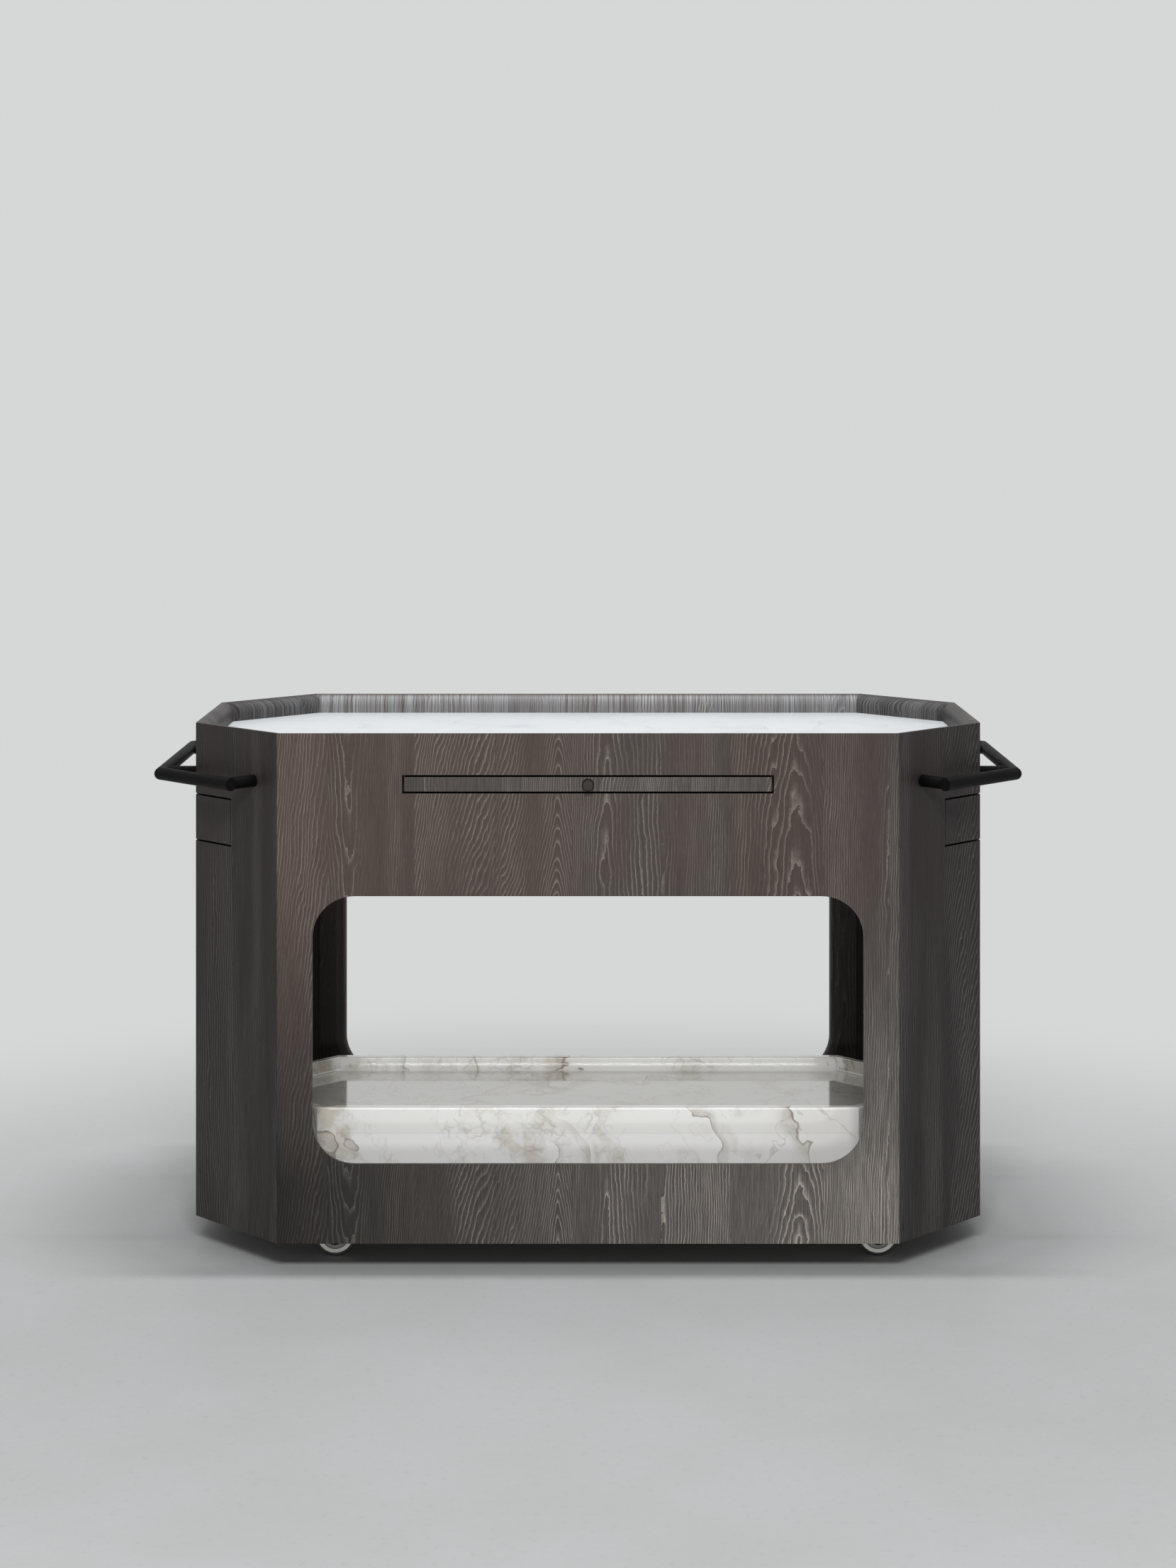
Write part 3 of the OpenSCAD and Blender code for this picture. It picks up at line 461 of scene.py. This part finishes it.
def veneer(name, seed, tone, wrap=False, cut=None, painted_sheen=0.0, drift=False, cool=0.1, lay_flat=False):
    """Veneer of that tone. cut is an opening whose gap gets black painted shade, and the painted sheen
    number sets the strength of the glints painted on the rim. drift makes the veneer lighter towards
    the lower right, and cool makes it greyer."""
    m = Veneer(name, seed, wrap, lay_flat)
    colour, limed = m.stained(cool)
    colour = m.scaled(colour, m.times(m.shade(drift), tone))
    if not lay_flat:
        colour = m.with_painted_inner_shade(colour)
    if painted_sheen:
        colour = m.with_painted_sheen(colour, painted_sheen)
    if cut:
        colour = m.with_painted_gap_shade(colour, cut)
    height = m.minus(m.times(m.fibre, 0.35), m.times(m.ridge, 0.65))
    rough = m.ramp(limed, 0.14, 0.46)
    return m.surface(
        colour, rough, height, depth=0.0004, strength=0.30, edge=0.0008, Specular_IOR_Level=0.22)


# Marble: the way along the sheets of the veins, and how much slower the pattern changes that way
VEIN_RUN = (0.50, 0.12, -0.85)
VEIN_STRETCH = 0.34
# The painted shade of the tray's floor fades out over this length, up the rim
FLOOR_SHADE_FADE = 0.008


class Marble(Shader):
    """Marble whose veins run through it as sheets."""

    def __init__(self, name, seed, strength):
        super().__init__(name)
        self.strength = strength
        # Blocks of other seeds come from other places in the stone
        self.stone = self.shift(self.place, (seed, seed * 0.7, seed * 1.3))
        self.curl = self.drift(self.stone, 7.0, 0.5)
        kink = self.drift(self.stone, 26.0, 0.6)
        turn = Vector(VEIN_RUN).to_track_quat("Z", "Y").inverted().to_euler()
        run = self.mapped(self.stone, [math.degrees(v) for v in turn])
        run = self.mapped(run, scale=(1.0, 1.0, VEIN_STRETCH))
        self.run = self.shift(self.shift(run, self.scaled(self.curl, 0.16)), self.scaled(kink, 0.022))
        self.grain = self.noise(self.run, 34.0, 4.0, 0.62)
        self.mist = self.fit(self.noise(self.stone, 5.0, 4.0, 0.55), 0.42, 0.70)
        # Which side of the nearest vein a place is on, and where the stone has veins at all
        self.side = self.minus(self.noise(self.run, 5.6, 2.0, 0.45), 0.5)
        self.gate = self.fit(self.noise(self.shift(self.stone, (3.1, 1.7, 5.2)), 5.2), 0.36, 0.50)

    def washed(self, colour, shadow, vein):
        """Adds a soft wash on one side of each vein, as the mineral spread into the stone."""
        wash = self.times(self.fit(self.side, -0.004, 0.0), self.fit(self.side, 0.0, 0.075, 1.0, 0.0))
        wash = self.times(wash, self.fit(self.grain, 0.32, 0.62, 0.2, 1.0))
        wash = self.times(wash, self.gate)
        colour = self.mix(self.times(wash, self.strength), colour, shadow)
        return self.mix(self.times(wash, 0.12 * self.strength), colour, vein)

    def laced(self, colour, ochre, vein):
        """Adds small cells outlined by fine dark lines, and an ochre stain about them."""
        ripple = self.noise(self.stone, 55.0, 2.0, 0.6, "Color")
        place = self.shift(self.stone, self.scaled(self.curl, 0.05))
        place = self.shift(place, self.scaled(ripple, 0.022))
        cells = {"Vector": place, "Scale": 52.0}
        edge = self.add("ShaderNodeTexVoronoi", cells, feature="DISTANCE_TO_EDGE").outputs[0]
        patches = self.noise(self.shift(self.run, (1.9, 6.1, 2.8)), 7.5, 3.0, 0.6)
        patches = self.fit(patches, 0.49, 0.61)
        lace = self.times(self.fit(edge, 0.0, 0.12, 1.0, 0.0), patches)
        lace = self.times(lace, self.fit(self.noise(self.stone, 40.0), 0.42, 0.6))
        stain = self.times(patches, self.fit(self.noise(self.stone, 16.0, 3.0, 0.6), 0.45, 0.65))
        colour = self.mix(self.times(stain, 0.75 * self.strength), colour, ochre)
        return self.mix(self.times(lace, 0.32 * self.strength), colour, vein)

    def threaded(self, colour, vein):
        """Adds thin threads, clearer in the mist."""
        fine = self.noise(self.shift(self.run, (9.3, 2.1, 4.4)), 11.0, 4.0, 0.55)
        thread = self.fit(self.size(self.minus(fine, 0.5)), 0.0, 0.012, 1.0, 0.0)
        thread = self.times(thread, self.fit(self.mist, 0.0, 1.0, 0.12, 0.55))
        return self.mix(self.times(thread, self.strength), colour, vein)

    def veined(self, colour, vein):
        """Adds the bold line of each vein, of uneven width."""
        width = self.fit(self.noise(self.stone, 9.0), 0.3, 0.7, 0.002, 0.009)
        away = self.calc("DIVIDE", self.size(self.side), width)
        bold = self.times(self.minus(1.0, self.fit(away, 0.1, 1.0)), self.gate)
        broken = self.times(self.fit(self.grain, 0.3, 0.7, 0.4, 0.95), self.strength)
        return self.mix(self.times(bold, broken), colour, vein)

    def with_painted_floor_shade(self, colour, floor_shade):
        """Paints shade on the tray's floor as a darker tint, inside its rim along the front and the rear.
        """
        y = self.split(self.place)["Y"]
        raised = self.fit(self.size(y), TRAY_FLOOR_HALF, TRAY_FLOOR_HALF + FLOOR_SHADE_FADE)
        return self.vector_calc("MULTIPLY", colour, self.mix(raised, floor_shade, WHITE))


def marble(name, base, shadow, vein, ochre, seed, strength, roughness, coat=0.0, floor=None):
    """White marble. strength says how clear the veins are, and floor is a tint of painted shade for the
    tray's floor.
    """
    m = Marble(name, seed, strength)
    colour = m.mix(m.times(m.mist, 0.25), base, shadow)
    colour = m.washed(colour, shadow, vein)
    colour = m.laced(colour, ochre, vein)
    colour = m.threaded(colour, vein)
    colour = m.veined(colour, vein)
    # Painted shade on the tray's floor, which lies under the body
    if floor:
        colour = m.with_painted_floor_shade(colour, floor)
    rough = m.ramp(m.noise(m.stone, 60.0, 3.0), 0.03, roughness)
    height = m.noise(m.stone, 30.0)
    return m.surface(
        colour, rough, height, depth=0.0001, strength=0.02, edge=0.0008,
        Specular_IOR_Level=0.5, Coat_Weight=coat, Coat_Roughness=0.07, Coat_IOR=1.9)


def coated_metal(name, dark, light, gloss, face_radius=None):
    """Powder coat. With face_radius, all but a round face on the knob's axis gets black painted shade."""
    m = Shader(name)
    speck = m.noise(m.place, 1500.0, 2.0, 0.6)
    cloud = m.noise(m.place, 22.0, 3.0)
    colour = m.mix(m.fit(cloud), dark, light)
    if face_radius:
        x, _, z = m.split(m.place)
        # Painted shade: black on the knob's side and round its face
        away = m.radius(x, m.minus(z, KNOB_HEIGHT))
        colour = m.mix(m.fit(away, face_radius, face_radius + CRISP), colour, rgb(6, 6, 6))
    rough = m.ramp(cloud, 0.14, 0.48)
    return m.surface(
        colour, rough, speck, depth=0.00015, strength=0.30, edge=0.001, Specular_IOR_Level=gloss)


def plated_steel(name):
    """Zinc plate, with fine marks of rolling along x."""
    m = Shader(name)
    cloud = m.noise(m.place, 45.0, 4.0, 0.6)
    brushed = m.noise(m.mapped(m.place, scale=(60.0, 900.0, 900.0)), 1.0)
    colour = m.mix(m.fit(cloud), rgb(166, 170, 174), rgb(196, 197, 196))
    rough = m.plus(m.ramp(cloud, 0.16, 0.26), m.times(brushed, 0.08))
    return m.surface(colour, rough, brushed, depth=0.00005, strength=0.2, edge=0.0006, Metallic=1.0)


def birch_ply(name, tone=1.0):
    """Birch plywood, with the grain along x. A low tone paints shade on it."""
    m = Shader(name)
    figure = m.noise(m.mapped(m.place, scale=(3.0, 26.0, 26.0)), 1.0, 4.0, 0.55)
    line = m.noise(m.mapped(m.place, scale=(14.0, 420.0, 420.0)), 1.0)
    colour = m.mix(m.fit(figure), rgb(196, 168, 128), rgb(172, 140, 100))
    colour = m.mix(m.times(m.fit(line, 0.5, 0.7), 0.35), colour, rgb(140, 108, 74))
    colour = m.scaled(colour, tone)
    rough = m.ramp(line, 0.15, 0.45)
    return m.surface(colour, rough, line, depth=0.0002, strength=0.25, edge=0.0008)


def moulded(name, light, dark, roughness, scuffs, painted_web_shade=None):
    """Moulded plastic or rubber. The web colour is painted shade on a wheel's disc inside its ring, in
    its recess.
    """
    m = Shader(name)
    cloud = m.noise(m.place, 35.0, 4.0, 0.6)
    scuff = m.noise(m.mapped(m.place, (0, 35, 0), (260.0, 90.0, 40.0)), 1.0, 3.0)
    colour = m.mix(m.fit(cloud, 0.3, 0.75), light, dark)
    colour = m.mix(m.times(m.fit(scuff, 0.6, 0.75), scuffs), colour, dark)
    # Painted shade: a grey disc inside the wheel's ring, for the shade in its recess
    if painted_web_shade:
        x, _, z = m.split(m.place)
        # The wheels of both sides trail to the right of their casters' axes
        half_apart = (RIGHT_WHEEL.x - LEFT_WHEEL.x) / 2
        trail = (RIGHT_WHEEL.x + LEFT_WHEEL.x) / 2
        axle = m.ramp(m.sign(x), half_apart, trail)
        away = m.radius(m.minus(x, axle), m.minus(z, AXLE_HEIGHT))
        on_web = m.fit(away, WHEEL_RING_RADIUS, WHEEL_RING_RADIUS + CRISP, 1.0, 0.0)
        colour = m.mix(on_web, colour, painted_web_shade)
    texture = m.noise(m.place, 700.0)
    rough = m.ramp(cloud, 0.15, roughness)
    return m.surface(colour, rough, texture, depth=0.0001, strength=0.25, edge=0.0008)


# Finishes
front_wood = veneer("veneer_front", seed=1.0, tone=0.83, cut=SLOT, drift=True)
rear_wood = veneer("veneer_rear", seed=4.0, tone=0.82, painted_sheen=0.4)
# The low tone of the ends and corners is painted shade, for faces turned away from the front
wrap_wood = veneer("veneer_wrap", seed=2.0, tone=0.275, wrap=True, cut=DRAWER, painted_sheen=0.13, cool=0.35)
pull_wood = veneer("veneer_pullout", seed=9.0, tone=0.86, cut=SLOT, cool=0.55)
board_wood = veneer("veneer_board", seed=6.0, tone=0.8, lay_flat=True)

white_marble = marble(
    "marble_top", base=rgb(197, 201, 204), shadow=rgb(187, 190, 194), vein=rgb(162, 166, 172),
    ochre=rgb(193, 194, 193), seed=4.0, strength=0.5, roughness=0.45)
TRAY_SEED = 2.3
warm_marble = marble(
    "marble_tray", base=rgb(248, 248, 245), shadow=rgb(210, 203, 192), vein=rgb(122, 111, 98),
    ochre=rgb(207, 198, 179), seed=TRAY_SEED, strength=0.9, roughness=0.07, coat=1.0,
    floor=(0.59, 0.575, 0.54, 1.0))
# A lighter copy of the tray's marble: painted light against the shade that the front rail casts on the
# apron
apron_marble = marble(
    "marble_apron", base=rgb(255, 255, 254), shadow=rgb(220, 214, 204), vein=rgb(130, 119, 106),
    ochre=rgb(214, 205, 187), seed=TRAY_SEED, strength=0.9, roughness=0.07, coat=1.0)

black = coated_metal("powder_coat", rgb(6, 6, 6), rgb(12, 11, 11), gloss=0.08)
bronze = coated_metal("dark_bronze", rgb(54, 48, 46), rgb(65, 58, 55), 0.2, KNOB_FACE_RADIUS)
steel = plated_steel("zinc_plate")
ply = birch_ply("birch_ply")
# Painted shade: nearly black ply for the carcass inside the shell and under it, where only shade falls
painted_shade_ply = birch_ply("ply_painted_shade", tone=0.12)
wheel_white = moulded(
    "wheel_plastic", rgb(252, 250, 244), rgb(236, 232, 224), roughness=0.36, scuffs=0.3,
    painted_web_shade=rgb(150, 147, 141))
rubber = moulded("tyre_rubber", rgb(34, 33, 32), rgb(58, 55, 52), roughness=0.6, scuffs=0.4)

# The finish of all nodes whose names start so. The longest start counts, and the others are birch ply.
finish_of = {
    "front_panel": front_wood,
    "rear_panel": rear_wood,
    "corner_panel": wrap_wood,
    "end_panel": wrap_wood,
    "drawer_front": wrap_wood,
    "drawer_slides": steel,
    "slide_channels": steel,
    "pullout_front": pull_wood,
    "pullout_board": board_wood,
    "pullout_knob": bronze,
    "pullout_knob_stud": steel,
    "pullout_guides": painted_shade_ply,
    "stone_top": white_marble,
    "sub_top": painted_shade_ply,
    "bay": painted_shade_ply,
    "cleats": painted_shade_ply,
    "base_deck": painted_shade_ply,
    "tray_slab": warm_marble,
    "tray_apron": apron_marble,
    "tray_core": painted_shade_ply,
    "handle": black,
    "handle_bolts": steel,
    "caster_plates": steel,
    "caster_screws": steel,
    "caster_fork": black,
    "caster_axle": steel,
    "caster_wheel": wheel_white,
    "caster_tyre": rubber,
}

for name, piece in nodes.items():
    starts = [start for start in finish_of if name.startswith(start)]
    finish = finish_of[max(starts, key=len)] if starts else ply
    if not piece.material_slots:
        piece.data.materials.append(finish)
    for slot in piece.material_slots:
        slot.material = finish

# Floor and backdrop
BACKDROP = rgb(214, 215, 215)
ROOM_LIGHT = 0.36
FLOOR_RADIUS = 6.0
# The floor fades into the backdrop between these distances from a point in front of the cart
FADE_POINT = Vector((0.0, -0.45, 0.0))
FADE_START = 0.75
FADE_END = 2.1


def lay_floor():
    """A pale disc that fades into the backdrop round it."""
    bpy.ops.mesh.primitive_circle_add(
        vertices=96, radius=FLOOR_RADIUS, fill_type="NGON", location=(0, 0, 0))
    floor = bpy.context.object
    floor.name = "floor"
    m = Shader("pale_floor")
    grain = m.noise(m.place, 3.0, 5.0, 0.6)
    speckle = m.noise(m.place, 90.0, 3.0)
    tone = m.mix(m.fit(grain), rgb(174, 175, 176), rgb(170, 171, 171))
    tone = m.mix(m.times(m.fit(speckle, 0.55, 0.75), 0.25), tone, rgb(154, 154, 155))
    paint = {"Base Color": tone, "Roughness": 0.75, "Specular IOR Level": 0.2}
    paint = m.add("ShaderNodeBsdfPrincipled", paint).outputs[0]
    clear = m.add("ShaderNodeBsdfTransparent").outputs[0]
    fade = m.fit(m.length(m.shift(m.place, -FADE_POINT)), FADE_START, FADE_END)
    blend = m.add("ShaderNodeMixShader", {0: fade, 1: paint, 2: clear})
    m.add("ShaderNodeOutputMaterial", {0: blend.outputs[0]})
    floor.data.materials.append(m.material)


def light_room():
    """Soft light from all round, and a plain backdrop for the camera and in gloss and glass."""
    world = bpy.data.worlds.new("studio")
    bpy.context.scene.world = world
    world.use_nodes = True
    sky = world.node_tree.nodes
    link = world.node_tree.links.new
    sky.clear()

    def background(colour, strength):
        node = sky.new("ShaderNodeBackground")
        node.inputs["Color"].default_value = colour
        node.inputs["Strength"].default_value = strength
        return node.outputs[0]

    rays = sky.new("ShaderNodeLightPath").outputs
    seen = rays["Is Camera Ray"]
    for ray in ("Is Glossy Ray", "Is Transmission Ray"):
        either = sky.new("ShaderNodeMath")
        either.operation = "MAXIMUM"
        link(seen, either.inputs[0])
        link(rays[ray], either.inputs[1])
        seen = either.outputs[0]
    blend = sky.new("ShaderNodeMixShader")
    link(seen, blend.inputs[0])
    link(background(WHITE, ROOM_LIGHT), blend.inputs[1])
    link(background(BACKDROP, 1.0), blend.inputs[2])
    link(blend.outputs[0], sky.new("ShaderNodeOutputWorld").inputs[0])


def softbox(name, place, target, size, power, in_gloss):
    """A lamp of that width and height in metres and power in watts, turned from its place to a target.
    in_gloss says whether it shows in glossy faces."""
    data = bpy.data.lights.new(name, "AREA")
    data.shape = "RECTANGLE"
    data.size, data.size_y = size
    data.energy = power
    lamp = bpy.data.objects.new(name, data)
    bpy.context.scene.collection.objects.link(lamp)
    lamp.location = place
    way = Vector(target) - Vector(place)
    lamp.rotation_euler = way.to_track_quat("-Z", "Y").to_euler()
    lamp.visible_glossy = in_gloss


lay_floor()
light_room()
softbox("softbox_front", (0, -4.3, 3.5), (0, 0, 0.45), size=(1.6, 0.8), power=160.0, in_gloss=False)
softbox("softbox_low", (0, -4.6, 0.42), (0, 0, 0.3), size=(1.6, 0.5), power=26.0, in_gloss=True)
softbox("softbox_top", (0, -0.24, 3.6), (0, -0.24, 0.2), size=(1.0, 0.1), power=54.0, in_gloss=True)
softbox("softbox_rear", (0, 4.6, 2.3), (0, 0, 0.45), size=(3.2, 2.0), power=76.0, in_gloss=False)

# Camera, level and shifted as the photograph was. These three are in pixels of the photograph.
FOCAL_LENGTH = 3750
PHOTO_HEIGHT = 2212
HORIZON_ROW = 587.5
# In metres, and the film's width in millimetres
CAMERA_PLACE = (0.0, -4.2105, 1.2683)
FILM_WIDTH = 36.0

view = bpy.data.cameras.new("photo_camera")
camera = bpy.data.objects.new("photo_camera", view)
bpy.context.scene.collection.objects.link(camera)
bpy.context.scene.camera = camera
view.sensor_width = FILM_WIDTH
view.lens = FOCAL_LENGTH / PHOTO_HEIGHT * FILM_WIDTH
view.shift_y = (HORIZON_ROW - PHOTO_HEIGHT / 2) / PHOTO_HEIGHT
view.clip_start = 0.05
view.clip_end = 60.0
camera.location = CAMERA_PLACE
camera.rotation_euler = (math.pi / 2, 0, 0)

bpy.context.scene.view_settings.view_transform = "Standard"
